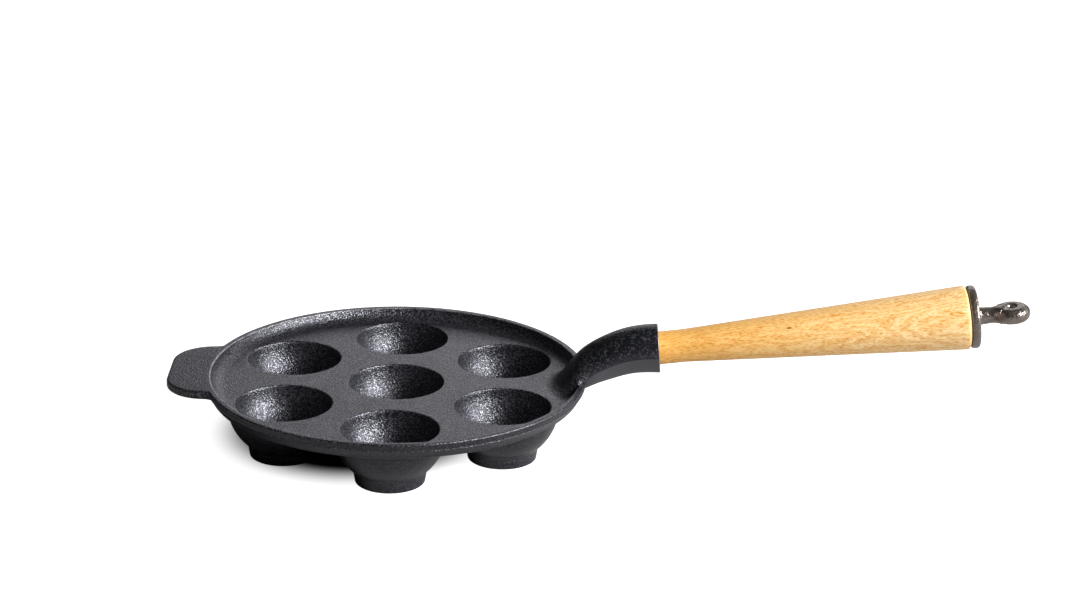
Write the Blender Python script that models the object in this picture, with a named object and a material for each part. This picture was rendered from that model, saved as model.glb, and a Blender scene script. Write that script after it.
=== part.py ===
"""Aebleskiver pan: an iron casting with seven round wells, a beech grip on a steel tie rod, and an
end cap with a hanging eye.

Metres, +Z up. The origin is the middle of the pan on the surface it stands on, the grip points
along +X and the helper tab lies at -X.
"""

import math

import bmesh
import bpy
from mathutils import Matrix, Vector

# Clearances
SEAT_GAP = 0.0003
CUT_OVERRUN = 0.004

# Pan: rim, tray and plate
RIM_RADIUS = 0.110
RIM_DEPTH = 0.0095
RIM_DRAFT = 0.0034
RIM_PARTING_DROP = 0.0046
RIM_PARTING_INSET = 0.0010
LIP_WIDTH = 0.0040
LIP_ROUND = 0.0010
TRAY_DEPTH = 0.0065
TRAY_WALL_DRAFT = 0.0006
TRAY_FILLET = 0.0030
RIM_LOWER_ROUND = 0.0008

# Wells, their bowls and feet
WELL_WEB = 0.0170
WELL_RIM_MARGIN = 0.0077
WELL_MOUTH_ROUND = 0.0010
WELL_CENTRE_ABOVE_PLATE = 0.0010
BOWL_WALL = 0.0049
FLOOR_UNDER_WELL = 0.0046
FOOT_INSET = 0.0118
FOOT_DRAFT = 0.0006
FOOT_ROUND = 0.0006
WELLS_AROUND = 6
FIRST_WELL_ANGLE = math.radians(30)

# Helper tab
TAB_LENGTH = 0.0200
TAB_HALF_WIDTH = 0.0366
TAB_THICKNESS = 0.0050
TAB_FILLET = 0.0070
TAB_EDGE_ROUND = 0.0010
TAB_RIM_OVERLAP = 0.0013
TAB_ROOT_LIP_SHARE = 0.625

# Neck and its ferrule
NECK_ROOT_INSET = 0.0125
NECK_ROOT_ABOVE_UNDERSIDE = 0.0014
FERRULE_REACH = 0.0407
FERRULE_RISE = 0.0166
FERRULE_RADIUS = 0.0141
FERRULE_EDGE_ROUND = 0.0006
NECK_KEEL_SHARE = 0.22
# Each row is one section from root to ferrule: how far along and how high its middle lies, its lean
# in degrees, and its half height and half width, the last two as shares of the ferrule's radius.
NECK_SECTION_SHARES = (
    (0.000, 0.000, 84.0, 0.567, 1.640),
    (0.032, 0.094, 66.0, 0.470, 1.380),
    (0.075, 0.190, 53.0, 0.470, 1.220),
    (0.130, 0.303, 41.0, 0.570, 1.120),
    (0.252, 0.512, 35.0, 0.740, 1.000),
    (0.378, 0.668, 31.0, 0.842, 0.940),
    (0.532, 0.820, 24.0, 0.904, 0.922),
    (0.682, 0.926, 16.5, 0.948, 0.940),
    (0.830, 0.980, 9.0, 0.980, 0.972),
    (1.000, 1.000, 4.5, 1.000, 1.000),
)

# Grip, on an axis that leaves the ferrule's middle
HANDLE_TILT = math.radians(7.0)
GRIP_LENGTH = 0.1773
GRIP_SLIM_RADIUS = 0.0095
GRIP_SLIM_LENGTH = 0.0150
GRIP_END_RADIUS = 0.0184
GRIP_END_ROUND = 0.0020
SOCKET_DEPTH = 0.0150

# Tie rod
ROD_RADIUS = 0.0030
ROD_CHAMFER = 0.0006
ROD_IN_NECK = 0.0130
ROD_IN_CAP = 0.0110
GRIP_BORE_CLEARANCE = 0.0006

# End cap
FLANGE_RADIUS = 0.0181
FLANGE_THICKNESS = 0.0050
FLANGE_ROUND = 0.0018
STEM_RADIUS = 0.0050
STEM_FILLET = 0.0030
EYE_DISTANCE = 0.0199
EYE_RADIUS = 0.0105
EYE_THICKNESS = 0.0090
EYE_HOLE_RADIUS = 0.0025
EYE_OUTER_ROUND = 0.0042
EYE_HOLE_FLARE = 0.0022
EYE_WALL_UNDER_STEM = 0.0025

# Facets
PLATE_SIDES = 80
WELL_SIDES = 30
NECK_SIDES = 24
GRIP_SIDES = 40
ROD_SIDES = 20
EYE_SIDES = 36
STEM_SIDES = 24
SMOOTH_LIMIT = math.radians(35)

# Worked out from the sizes above: three well radii, a web and a margin lie from the pan's middle to
# the rim's inner wall, and the wells' depth sets the pan's height.
WELL_RADIUS = (RIM_RADIUS - LIP_WIDTH - WELL_WEB - WELL_RIM_MARGIN) / 3
WELL_PITCH = 2 * WELL_RADIUS + WELL_WEB
WELL_CENTRE = FLOOR_UNDER_WELL + WELL_RADIUS
PLATE_TOP = WELL_CENTRE - WELL_CENTRE_ABOVE_PLATE
PAN_HEIGHT = PLATE_TOP + TRAY_DEPTH
UNDERSIDE = PAN_HEIGHT - RIM_DEPTH
BOWL_RADIUS = WELL_RADIUS + BOWL_WALL
FOOT_RADIUS = BOWL_RADIUS - FOOT_INSET
TAB_REACH = RIM_RADIUS + TAB_LENGTH
NECK_ROOT_X = RIM_RADIUS - NECK_ROOT_INSET
FERRULE_X = RIM_RADIUS + FERRULE_REACH
FERRULE_Z = PAN_HEIGHT + FERRULE_RISE


def arc(centre_r, centre_z, radius, start, end, steps):
    """Points of a circular arc in a profile, both ends included, angles in degrees."""
    points = []
    for step in range(steps + 1):
        angle = math.radians(start + (end - start) * step / steps)
        points.append((centre_r + radius * math.cos(angle), centre_z + radius * math.sin(angle)))
    return points


def turned(profile, sides):
    """Rings of a profile of (radius, height) turned about Z; a radius of zero gives one point."""
    rings = []
    for radius, height in profile:
        count = sides if radius > 0 else 1
        turns = [2 * math.pi * side / count for side in range(count)]
        rings.append([Vector((radius * math.cos(a), radius * math.sin(a), height)) for a in turns])
    return rings


def solid(name, rings, closed=False):
    """An object whose faces join each ring to the next one, with flat caps on open ends."""
    bm = bmesh.new()
    loops = [[bm.verts.new(point) for point in ring] for ring in rings]
    pairs = list(zip(loops, loops[1:]))
    if closed:
        pairs.append((loops[-1], loops[0]))
    for low, high in pairs:
        count = max(len(low), len(high))
        for i in range(count):
            j = (i + 1) % count
            corners = [low[i % len(low)], low[j % len(low)], high[j % len(high)], high[i % len(high)]]
            bm.faces.new(list(dict.fromkeys(corners)))
    if not closed:
        for loop in (loops[0], loops[-1]):
            if len(loop) > 1:
                bm.faces.new(loop)
    bmesh.ops.recalc_face_normals(bm, faces=bm.faces)
    mesh = bpy.data.meshes.new(name)
    bm.to_mesh(mesh)
    bm.free()
    obj = bpy.data.objects.new(name, mesh)
    bpy.context.collection.objects.link(obj)
    return obj


def combine(target, tool, operation):
    """Unites the tool with the target, or cuts it out, and removes the tool."""
    modifier = target.modifiers.new(operation.title(), "BOOLEAN")
    modifier.solver = "EXACT"
    modifier.operation = operation
    modifier.object = tool
    depsgraph = bpy.context.evaluated_depsgraph_get()
    mesh = bpy.data.meshes.new_from_object(target.evaluated_get(depsgraph))
    target.modifiers.clear()
    target.data = mesh
    bpy.data.objects.remove(tool)


def finish(obj, material):
    """Gives an object its material and smooth shading that breaks at its edges."""
    obj.data.name = obj.name
    obj.data.materials.clear()
    obj.data.materials.append(material)
    obj.data.shade_smooth()
    obj.data.set_sharp_from_angle(angle=SMOOTH_LIMIT)


def principled(name, colour, roughness, metallic):
    """A plain Principled material from a linear colour."""
    material = bpy.data.materials.new(name)
    material.use_nodes = True
    shader = material.node_tree.nodes["Principled BSDF"]
    shader.inputs["Base Color"].default_value = (*colour, 1.0)
    shader.inputs["Roughness"].default_value = roughness
    shader.inputs["Metallic"].default_value = metallic
    return material


def handle_frame(distance=0.0):
    """Places a piece on the grip's axis: local Z runs along it, from the ferrule's mouth outward."""
    start = Matrix.Translation((FERRULE_X, 0.0, FERRULE_Z))
    lean = Matrix.Rotation(math.pi / 2 - HANDLE_TILT, 4, "Y")
    return start @ lean @ Matrix.Translation((0.0, 0.0, distance))


def plate_profile():
    """Half section of plate and rim, from the middle of the underside round to the plate's top."""
    low_radius = RIM_RADIUS - RIM_DRAFT
    inner_radius = RIM_RADIUS - LIP_WIDTH
    wall_foot = inner_radius - TRAY_WALL_DRAFT
    profile = [(0.0, UNDERSIDE)]
    profile += arc(low_radius - RIM_LOWER_ROUND, UNDERSIDE + RIM_LOWER_ROUND, RIM_LOWER_ROUND, -90, 0, 1)
    profile.append((RIM_RADIUS - RIM_PARTING_INSET, PAN_HEIGHT - RIM_PARTING_DROP))
    profile += arc(RIM_RADIUS - LIP_ROUND, PAN_HEIGHT - LIP_ROUND, LIP_ROUND, 10, 90, 2)
    profile += arc(inner_radius + LIP_ROUND, PAN_HEIGHT - LIP_ROUND, LIP_ROUND, 90, 180, 2)
    profile += arc(wall_foot - TRAY_FILLET, PLATE_TOP + TRAY_FILLET, TRAY_FILLET, 0, -90, 3)
    profile.append((0.0, PLATE_TOP))
    return profile


def well_places():
    """Middle of each well: one at the centre and the others evenly around it."""
    places = [Vector((0.0, 0.0, 0.0))]
    for index in range(WELLS_AROUND):
        angle = FIRST_WELL_ANGLE + 2 * math.pi * index / WELLS_AROUND
        places.append(Vector((WELL_PITCH * math.cos(angle), WELL_PITCH * math.sin(angle), 0.0)))
    return places


def bowl_rings():
    """Outside of one well: a ball's lower half on its foot, from inside the plate to the floor."""
    top = (PLATE_TOP + UNDERSIDE) / 2
    top_angle = math.degrees(math.asin((top - WELL_CENTRE) / BOWL_RADIUS))
    foot_angle = -math.degrees(math.acos(FOOT_RADIUS / BOWL_RADIUS))
    base_radius = FOOT_RADIUS - FOOT_DRAFT
    profile = [(0.0, top)]
    profile += arc(0.0, WELL_CENTRE, BOWL_RADIUS, top_angle, foot_angle, 4)
    profile += arc(base_radius - FOOT_ROUND, FOOT_ROUND, FOOT_ROUND, 0, -90, 1)
    profile.append((0.0, 0.0))
    return turned(profile, WELL_SIDES)


def well_rings():
    """Inside of one well, with its rounded mouth, carried on above the plate."""
    mouth_drop = WELL_CENTRE_ABOVE_PLATE + WELL_MOUTH_ROUND
    mouth_angle = -math.degrees(math.asin(mouth_drop / WELL_RADIUS))
    mouth_radius = WELL_RADIUS + WELL_MOUTH_ROUND
    profile = [(0.0, WELL_CENTRE - WELL_RADIUS)]
    profile += arc(0.0, WELL_CENTRE, WELL_RADIUS, -75, mouth_angle, 5)
    profile += arc(mouth_radius, PLATE_TOP - WELL_MOUTH_ROUND, WELL_MOUTH_ROUND, 165, 90, 2)
    profile.append((mouth_radius, PLATE_TOP + CUT_OVERRUN))
    profile.append((0.0, PLATE_TOP + CUT_OVERRUN))
    return turned(profile, WELL_SIDES)


def tab_outline(inset):
    """Plan of the helper tab, drawn in by an inset: on each side a fillet from the rim runs straight
    into a round corner that takes up the rest of the tab's reach. The inner edge lies in the lip."""
    fillet_y = TAB_HALF_WIDTH + TAB_FILLET
    fillet_x = -math.sqrt((RIM_RADIUS - TAB_RIM_OVERLAP + TAB_FILLET) ** 2 - fillet_y ** 2)
    corner = TAB_REACH + fillet_x
    meet = math.degrees(math.atan2(fillet_y, fillet_x))
    half = arc(fillet_x, fillet_y, TAB_FILLET + inset, meet + 180, 270, 5)[:-1]
    half += arc(fillet_x, TAB_HALF_WIDTH - corner, corner - inset, 90, 180, 8)
    outline = half + [(x, -y) for x, y in reversed(half)]
    outline += arc(0.0, 0.0, RIM_RADIUS - LIP_WIDTH * TAB_ROOT_LIP_SHARE, 360 - meet, meet, 10)
    return outline


def tab_rings():
    """The tab's outline stacked from its underside to its top, flush with the rim's lip."""
    low = PAN_HEIGHT - TAB_THICKNESS
    slope = TAB_EDGE_ROUND * (1 - math.sqrt(0.5))
    stack = (
        (TAB_EDGE_ROUND, low),
        (slope, low + slope),
        (0.0, low + TAB_EDGE_ROUND),
        (0.0, PAN_HEIGHT - TAB_EDGE_ROUND),
        (slope, PAN_HEIGHT - slope),
        (TAB_EDGE_ROUND, PAN_HEIGHT),
    )
    return [[Vector((x, y, height)) for x, y in tab_outline(inset)] for inset, height in stack]


def smooth_row(rows, index, t):
    """A row between two rows of the section table, on a smooth curve through all of them."""
    last = len(rows) - 1
    before, start, end, after = (rows[min(max(index + k, 0), last)] for k in (-1, 0, 1, 2))
    row = []
    for p0, p1, p2, p3 in zip(before, start, end, after):
        bend = 2 * p0 - 5 * p1 + 4 * p2 - p3
        twist = -p0 + 3 * p1 - 3 * p2 + p3
        row.append(0.5 * (2 * p1 + (p2 - p0) * t + bend * t ** 2 + twist * t ** 3))
    return row


def neck_section(row, inset=0.0):
    """One ring of the neck: a round top, and a lower half drawn in below its widest line."""
    along, rise, lean, height_share, width_share = row
    root_z = UNDERSIDE + NECK_ROOT_ABOVE_UNDERSIDE
    middle = Vector((
        NECK_ROOT_X + (FERRULE_X - NECK_ROOT_X) * along,
        0.0,
        root_z + (FERRULE_Z - root_z) * rise,
    ))
    upward = Vector((-math.sin(math.radians(lean)), 0.0, math.cos(math.radians(lean))))
    half_height = FERRULE_RADIUS * height_share - inset
    half_width = FERRULE_RADIUS * width_share - inset
    ring = []
    for side in range(NECK_SIDES):
        angle = 2 * math.pi * side / NECK_SIDES
        drawn_in = 1 + NECK_KEEL_SHARE * min(math.sin(angle), 0.0)
        across = half_width * math.cos(angle) * drawn_in
        ring.append(middle + upward * half_height * math.sin(angle) + Vector((0.0, across, 0.0)))
    return ring


def neck_rings():
    """Sections from the root, buried in the plate, to the ferrule's rounded mouth."""
    rings = []
    for index in range(len(NECK_SECTION_SHARES) - 1):
        for t in (0.0, 0.5):
            rings.append(neck_section(smooth_row(NECK_SECTION_SHARES, index, t)))
    lean = math.radians(NECK_SECTION_SHARES[-1][2])
    outward = Vector((math.cos(lean), 0.0, math.sin(lean)))
    edge = neck_section(NECK_SECTION_SHARES[-1])
    rings.append([point - outward * FERRULE_EDGE_ROUND for point in edge])
    rings.append(neck_section(NECK_SECTION_SHARES[-1], FERRULE_EDGE_ROUND))
    return rings


def socket_rings():
    """The ferrule's socket for the grip, then the tapped hole for the rod, along the grip's axis."""
    socket = GRIP_SLIM_RADIUS + SEAT_GAP
    hole = ROD_RADIUS + SEAT_GAP
    profile = (
        (0.0, -SOCKET_DEPTH - ROD_IN_NECK - SEAT_GAP),
        (hole, -SOCKET_DEPTH - ROD_IN_NECK - SEAT_GAP),
        (hole, -SOCKET_DEPTH),
        (socket, -SOCKET_DEPTH),
        (socket, CUT_OVERRUN),
        (0.0, CUT_OVERRUN),
    )
    return turned(profile, GRIP_SIDES)


def make_pan_casting(iron):
    """Plate, rim, tab, neck, bowls and feet united, then the wells and the socket cut out."""
    pan = solid("pan_casting", turned(plate_profile(), PLATE_SIDES))
    combine(pan, solid("tab", tab_rings()), "UNION")
    combine(pan, solid("neck", neck_rings()), "UNION")
    for place in well_places():
        bowl = solid("bowl", bowl_rings())
        bowl.location = place
        combine(pan, bowl, "UNION")
    for place in well_places():
        well = solid("well", well_rings())
        well.location = place
        combine(pan, well, "DIFFERENCE")
    socket = solid("socket", socket_rings())
    socket.matrix_world = handle_frame()
    combine(pan, socket, "DIFFERENCE")
    finish(pan, iron)


def make_handle_grip(beech):
    """Turned grip: slim and straight in and past the ferrule, then an even swell to its far end."""
    bore = ROD_RADIUS + GRIP_BORE_CLEARANCE
    start = SEAT_GAP - SOCKET_DEPTH
    end = GRIP_LENGTH - SEAT_GAP
    swell_start = GRIP_SLIM_LENGTH
    profile = [(bore, start), (GRIP_SLIM_RADIUS, start), (GRIP_SLIM_RADIUS, 0.0)]
    steps = 10
    for step in range(steps + 1):
        share = step / steps
        radius = GRIP_SLIM_RADIUS + (GRIP_END_RADIUS - GRIP_SLIM_RADIUS) * share
        profile.append((radius, swell_start + (end - GRIP_END_ROUND - swell_start) * share))
    profile += arc(GRIP_END_RADIUS - GRIP_END_ROUND, end - GRIP_END_ROUND, GRIP_END_ROUND, 20, 90, 3)
    profile.append((bore, end))
    grip = solid("handle_grip", turned(profile, GRIP_SIDES), closed=True)
    grip.matrix_world = handle_frame()
    finish(grip, beech)


def make_tie_rod(steel):
    """Plain stud with chamfered ends, from the neck's tapped hole to the end cap's."""
    start = -SOCKET_DEPTH - ROD_IN_NECK
    end = GRIP_LENGTH + ROD_IN_CAP
    profile = (
        (0.0, start),
        (ROD_RADIUS - ROD_CHAMFER, start),
        (ROD_RADIUS, start + ROD_CHAMFER),
        (ROD_RADIUS, end - ROD_CHAMFER),
        (ROD_RADIUS - ROD_CHAMFER, end),
        (0.0, end),
    )
    rod = solid("tie_rod", turned(profile, ROD_SIDES))
    rod.matrix_world = handle_frame()
    finish(rod, steel)


def flange_rings():
    """Flange and stem turned on the grip's axis, up to the solid side of the eye."""
    face = FLANGE_THICKNESS
    edge = FLANGE_RADIUS - FLANGE_ROUND
    stem_end = FLANGE_THICKNESS + EYE_DISTANCE - EYE_HOLE_RADIUS - EYE_WALL_UNDER_STEM
    slim_radius = EYE_THICKNESS / 2 - SEAT_GAP
    profile = [(0.0, 0.0)]
    profile += arc(edge, FLANGE_ROUND, FLANGE_ROUND, -90, 0, 3)
    profile += arc(edge, face - FLANGE_ROUND, FLANGE_ROUND, 0, 90, 3)
    profile += arc(STEM_RADIUS + STEM_FILLET, face + STEM_FILLET, STEM_FILLET, 270, 180, 4)
    profile.append((slim_radius, stem_end))
    profile.append((0.0, stem_end))
    return turned(profile, STEM_SIDES)


def eye_rings():
    """Thick rounded ring turned about its own hole, whose mouths flare."""
    half = EYE_THICKNESS / 2
    outer = EYE_RADIUS - EYE_OUTER_ROUND
    inner = EYE_HOLE_RADIUS + EYE_HOLE_FLARE
    profile = arc(outer, half - EYE_OUTER_ROUND, EYE_OUTER_ROUND, 0, 90, 4)
    profile += arc(inner, half - EYE_HOLE_FLARE, EYE_HOLE_FLARE, 90, 180, 3)
    profile += arc(inner, EYE_HOLE_FLARE - half, EYE_HOLE_FLARE, 180, 270, 3)
    profile += arc(outer, EYE_OUTER_ROUND - half, EYE_OUTER_ROUND, 270, 360, 4)
    return turned(profile, EYE_SIDES)


def make_end_cap(iron):
    """Flange, stem and hanging eye united, with a blind tapped hole for the rod."""
    cap = solid("end_cap", flange_rings())
    eye = solid("eye", eye_rings(), closed=True)
    eye.matrix_world = Matrix.Translation((0.0, 0.0, FLANGE_THICKNESS + EYE_DISTANCE)) @ Matrix.Rotation(
        math.pi / 2, 4, "Y")
    combine(cap, eye, "UNION")
    hole_radius = ROD_RADIUS + SEAT_GAP
    hole_end = ROD_IN_CAP + SEAT_GAP
    hole_profile = (
        (0.0, -CUT_OVERRUN),
        (hole_radius, -CUT_OVERRUN),
        (hole_radius, hole_end),
        (0.0, hole_end),
    )
    combine(cap, solid("hole", turned(hole_profile, ROD_SIDES)), "DIFFERENCE")
    cap.matrix_world = handle_frame(GRIP_LENGTH)
    finish(cap, iron)


for old in list(bpy.data.objects):
    bpy.data.objects.remove(old)

make_pan_casting(principled("seasoned cast iron", (0.030, 0.030, 0.033), 0.50, 0.60))
make_handle_grip(principled("oiled beech", (0.80, 0.48, 0.17), 0.45, 0.0))
make_tie_rod(principled("plain steel", (0.45, 0.45, 0.46), 0.35, 1.0))
make_end_cap(principled("end cap iron", (0.026, 0.023, 0.022), 0.42, 0.60))
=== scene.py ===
"""Aebleskiver pan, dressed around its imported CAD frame: a sand-cast iron pan with seven round
wells, a turned beech grip on a steel tie rod, and a cast end cap with a hanging eye.

Metres, +Z up. The origin is the middle of the pan on the surface it stands on, and the grip points
along +X.
"""

import math

import bmesh
import bpy
import numpy as np
from mathutils import Matrix, Vector


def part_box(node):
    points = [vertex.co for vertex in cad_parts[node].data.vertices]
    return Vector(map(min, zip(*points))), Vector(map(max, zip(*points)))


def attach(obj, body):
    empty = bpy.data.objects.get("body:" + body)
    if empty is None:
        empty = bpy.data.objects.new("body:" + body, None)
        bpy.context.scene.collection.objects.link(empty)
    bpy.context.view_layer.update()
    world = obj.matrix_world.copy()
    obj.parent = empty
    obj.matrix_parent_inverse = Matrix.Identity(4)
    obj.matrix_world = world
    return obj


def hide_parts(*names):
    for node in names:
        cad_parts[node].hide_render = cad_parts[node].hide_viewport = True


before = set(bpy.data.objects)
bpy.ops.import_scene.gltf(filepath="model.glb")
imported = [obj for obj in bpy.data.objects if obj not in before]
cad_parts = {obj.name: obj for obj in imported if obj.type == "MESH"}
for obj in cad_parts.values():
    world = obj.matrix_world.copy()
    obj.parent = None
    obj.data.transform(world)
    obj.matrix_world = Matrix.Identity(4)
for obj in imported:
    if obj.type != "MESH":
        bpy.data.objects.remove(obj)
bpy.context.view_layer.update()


# Camera
# A long lens about a metre and a half in front of the pan, a little to the right of its middle and
# looking down on it, rolled counterclockwise by about one degree.

CAMERA_PLACE = (0.07010, -1.42323, 0.59161)
CAMERA_DOWN = math.radians(19.803)
CAMERA_TURN = math.radians(-0.479)
CAMERA_ROLL = math.radians(1.050)
CAMERA_LENS_MM = 88.456
SENSOR_WIDTH_MM = 36.0

camera = bpy.data.objects.new("camera", bpy.data.cameras.new("camera"))
bpy.context.scene.collection.objects.link(camera)
camera.data.sensor_width = SENSOR_WIDTH_MM
camera.data.lens = CAMERA_LENS_MM
camera.matrix_world = (
    Matrix.Translation(CAMERA_PLACE)
    @ Matrix.Rotation(CAMERA_TURN, 4, "Z")
    @ Matrix.Rotation(math.pi / 2 - CAMERA_DOWN, 4, "X")
    @ Matrix.Rotation(CAMERA_ROLL, 4, "Z")
)
bpy.context.scene.camera = camera


# Pan casting
# Plate, rim, wells, feet, helper tab and neck are one piece of grey iron, poured in a sand mould
# whose halves part along the rim and the neck. Its fillets are where the pattern was rounded so
# that the sand lets go, and its skin has the sand's grain under a baked coat of oil.

_, pan_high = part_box("pan_casting")
RIM_RADIUS = pan_high.y
PAN_HEIGHT = 0.0372
RIM_DEPTH = 0.0095
RIM_DRAFT = 0.0034
PARTING_DROP = 0.0046
PARTING_INSET = 0.0010
PARTING_FLASH = 0.00016
PARTING_HALF = 0.00045
LIP_WIDTH = 0.0040
LIP_ROUND = 0.0010
TRAY_DEPTH = 0.0065
TRAY_WALL_LEAN = 20.0
TRAY_FILLET = 0.0080
RIM_LOWER_ROUND = 0.0008
PLATE_TOP = PAN_HEIGHT - TRAY_DEPTH
UNDERSIDE = PAN_HEIGHT - RIM_DEPTH
PLATE_SIDES = 240
PLATE_RING_STEP = 0.0030


def arc(centre_r, centre_z, radius, start, end, steps):
    """Points of a circular arc in a profile, both ends included, angles in degrees."""
    angles = [math.radians(start + (end - start) * step / steps) for step in range(steps + 1)]
    return [(centre_r + radius * math.cos(a), centre_z + radius * math.sin(a)) for a in angles]


def finely(profile, longest):
    """The same profile with points added on its long straight runs, so that faces stay short."""
    points = [profile[0]]
    for (r0, z0), (r1, z1) in zip(profile, profile[1:]):
        parts = max(1, math.ceil(math.hypot(r1 - r0, z1 - z0) / longest))
        points += [(r0 + (r1 - r0) * k / parts, z0 + (z1 - z0) * k / parts)
                   for k in range(1, parts + 1)]
    return points


def turned(profile, sides):
    """Rings of a profile of (radius, height) turned about Z; a radius of zero gives one point."""
    rings = []
    for radius, height in profile:
        count = sides if radius > 0 else 1
        turns = [2 * math.pi * side / count for side in range(count)]
        rings.append([Vector((radius * math.cos(a), radius * math.sin(a), height)) for a in turns])
    return rings


def solid(name, rings, closed=False):
    """An object whose faces join each ring to the next one, with flat caps on open ends."""
    bm = bmesh.new()
    loops = [[bm.verts.new(point) for point in ring] for ring in rings]
    pairs = list(zip(loops, loops[1:]))
    if closed:
        pairs.append((loops[-1], loops[0]))
    for low, high in pairs:
        count = max(len(low), len(high))
        for i in range(count):
            j = (i + 1) % count
            corners = [low[i % len(low)], low[j % len(low)],
                       high[j % len(high)], high[i % len(high)]]
            bm.faces.new(list(dict.fromkeys(corners)))
    if not closed:
        for loop in (loops[0], loops[-1]):
            if len(loop) > 1:
                bm.faces.new(loop)
    bmesh.ops.recalc_face_normals(bm, faces=bm.faces)
    mesh = bpy.data.meshes.new(name)
    bm.to_mesh(mesh)
    bm.free()
    obj = bpy.data.objects.new(name, mesh)
    bpy.context.scene.collection.objects.link(obj)
    return obj


def bake(obj):
    """Turns what an object's modifiers make into its plain mesh."""
    depsgraph = bpy.context.evaluated_depsgraph_get()
    mesh = bpy.data.meshes.new_from_object(obj.evaluated_get(depsgraph))
    obj.modifiers.clear()
    obj.data = mesh


def combine(target, tool, operation, solver="MANIFOLD"):
    """Unites the tool with the target, or cuts it out, and removes the tool."""
    modifier = target.modifiers.new(operation.title(), "BOOLEAN")
    modifier.solver = solver
    modifier.operation = operation
    modifier.object = tool
    bake(target)
    bpy.data.objects.remove(tool)


low_radius = RIM_RADIUS - RIM_DRAFT
inner_radius = RIM_RADIUS - LIP_WIDTH
parting_radius = RIM_RADIUS - PARTING_INSET
parting_z = PAN_HEIGHT - PARTING_DROP
plate_profile = [(0.0, UNDERSIDE)]
plate_profile += arc(low_radius - RIM_LOWER_ROUND, UNDERSIDE + RIM_LOWER_ROUND, RIM_LOWER_ROUND,
                     -90, -5, 4)
plate_profile += [
    (parting_radius - PARTING_FLASH, parting_z - PARTING_HALF),
    (parting_radius + PARTING_FLASH, parting_z),
    (parting_radius, parting_z + PARTING_HALF),
]
plate_profile += arc(RIM_RADIUS - LIP_ROUND, PAN_HEIGHT - LIP_ROUND, LIP_ROUND, 10, 90, 5)
plate_profile += arc(inner_radius + LIP_ROUND, PAN_HEIGHT - LIP_ROUND, LIP_ROUND,
                     90, 180 - TRAY_WALL_LEAN, 5)
lean = math.radians(TRAY_WALL_LEAN)
wall_top_r, wall_top_z = plate_profile[-1]
wall_foot_z = PLATE_TOP + TRAY_FILLET * (1 - math.sin(lean))
wall_foot_r = wall_top_r - (wall_top_z - wall_foot_z) * math.tan(lean)
fillet_r = wall_foot_r - TRAY_FILLET * math.cos(lean)
plate_profile += arc(fillet_r, PLATE_TOP + TRAY_FILLET, TRAY_FILLET, -TRAY_WALL_LEAN, -90, 8)
plate_profile.append((0.0, PLATE_TOP))
pan = solid("pan", turned(finely(plate_profile, PLATE_RING_STEP), PLATE_SIDES))


# Helper tab: flat, flush with the rim's lip, with its cast face left bare.

TAB_LENGTH = 0.0200
TAB_HALF_WIDTH = 0.0366
TAB_THICKNESS = 0.0050
TAB_FILLET = 0.0070
TAB_EDGE_ROUND = 0.0013
TAB_RIM_OVERLAP = 0.0013
TAB_ROOT_INSET = 0.0025
TAB_DROP = 0.00002
TAB_EDGE_STEPS = 6


def tab_outline(inset):
    """Plan of the tab, drawn in by an inset: a fillet from the rim, then a round corner."""
    fillet_y = TAB_HALF_WIDTH + TAB_FILLET
    fillet_x = -math.sqrt((RIM_RADIUS - TAB_RIM_OVERLAP + TAB_FILLET) ** 2 - fillet_y ** 2)
    corner = RIM_RADIUS + TAB_LENGTH + fillet_x
    meet = math.degrees(math.atan2(fillet_y, fillet_x))
    half = arc(fillet_x, fillet_y, TAB_FILLET + inset, meet + 180, 270, 10)[:-1]
    half += arc(fillet_x, TAB_HALF_WIDTH - corner, corner - inset, 90, 180, 28)
    outline = half + [(x, -y) for x, y in reversed(half)]
    return outline + arc(0.0, 0.0, RIM_RADIUS - TAB_ROOT_INSET, 360 - meet, meet, 30)


tab_top = PAN_HEIGHT - TAB_DROP
edge_angles = [math.radians(90 * step / TAB_EDGE_STEPS) for step in range(TAB_EDGE_STEPS + 1)]
upper_edge = [(TAB_EDGE_ROUND * (1 - math.cos(a)), tab_top - TAB_EDGE_ROUND * (1 - math.sin(a)))
              for a in edge_angles]
lower_edge = [(inset, 2 * tab_top - TAB_THICKNESS - z) for inset, z in reversed(upper_edge)]
tab_stack = lower_edge + upper_edge
tab = solid("tab", [[Vector((x, y, z)) for x, y in tab_outline(inset)] for inset, z in tab_stack])
combine(pan, tab, "UNION")


# Neck: an arched arm with a plain ferrule, whose section turns flatter below the parting line.

NECK_ROOT_INSET = 0.0125
NECK_ROOT_Z = UNDERSIDE + 0.0014
FERRULE_X = RIM_RADIUS + 0.0407
FERRULE_Z = PAN_HEIGHT + 0.0166
FERRULE_RADIUS = 0.0141
FERRULE_ROUND = 0.0007
NECK_FILLET = 0.0036
NECK_FILLET_FADE = (RIM_RADIUS - LIP_WIDTH - 0.0020, RIM_RADIUS - LIP_WIDTH + 0.0020)
FILLET_LEAST_SLANT = 0.05
NECK_SIDES = 80
NECK_STEPS = 9
PARTING_SHARE = 0.12
SIDE_LEAN = math.radians(28)
SIDE_SHARE = 0.62
KEEL_SHARE = 0.45
# Each row: how far along and how high its middle lies, its lean in degrees, and its half height and
# half width as shares of the ferrule's radius.
NECK_SECTION_SHARES = (
    (0.000, 0.000, 84.0, 0.567, 1.640),
    (0.032, 0.094, 66.0, 0.470, 1.380),
    (0.075, 0.190, 53.0, 0.470, 1.220),
    (0.130, 0.303, 41.0, 0.570, 1.120),
    (0.252, 0.512, 35.0, 0.740, 1.000),
    (0.378, 0.668, 31.0, 0.842, 0.940),
    (0.532, 0.820, 24.0, 0.904, 0.922),
    (0.682, 0.926, 16.5, 0.948, 0.940),
    (0.830, 0.980, 9.0, 0.980, 0.972),
    (1.000, 1.000, 4.5, 1.000, 1.000),
)


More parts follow.
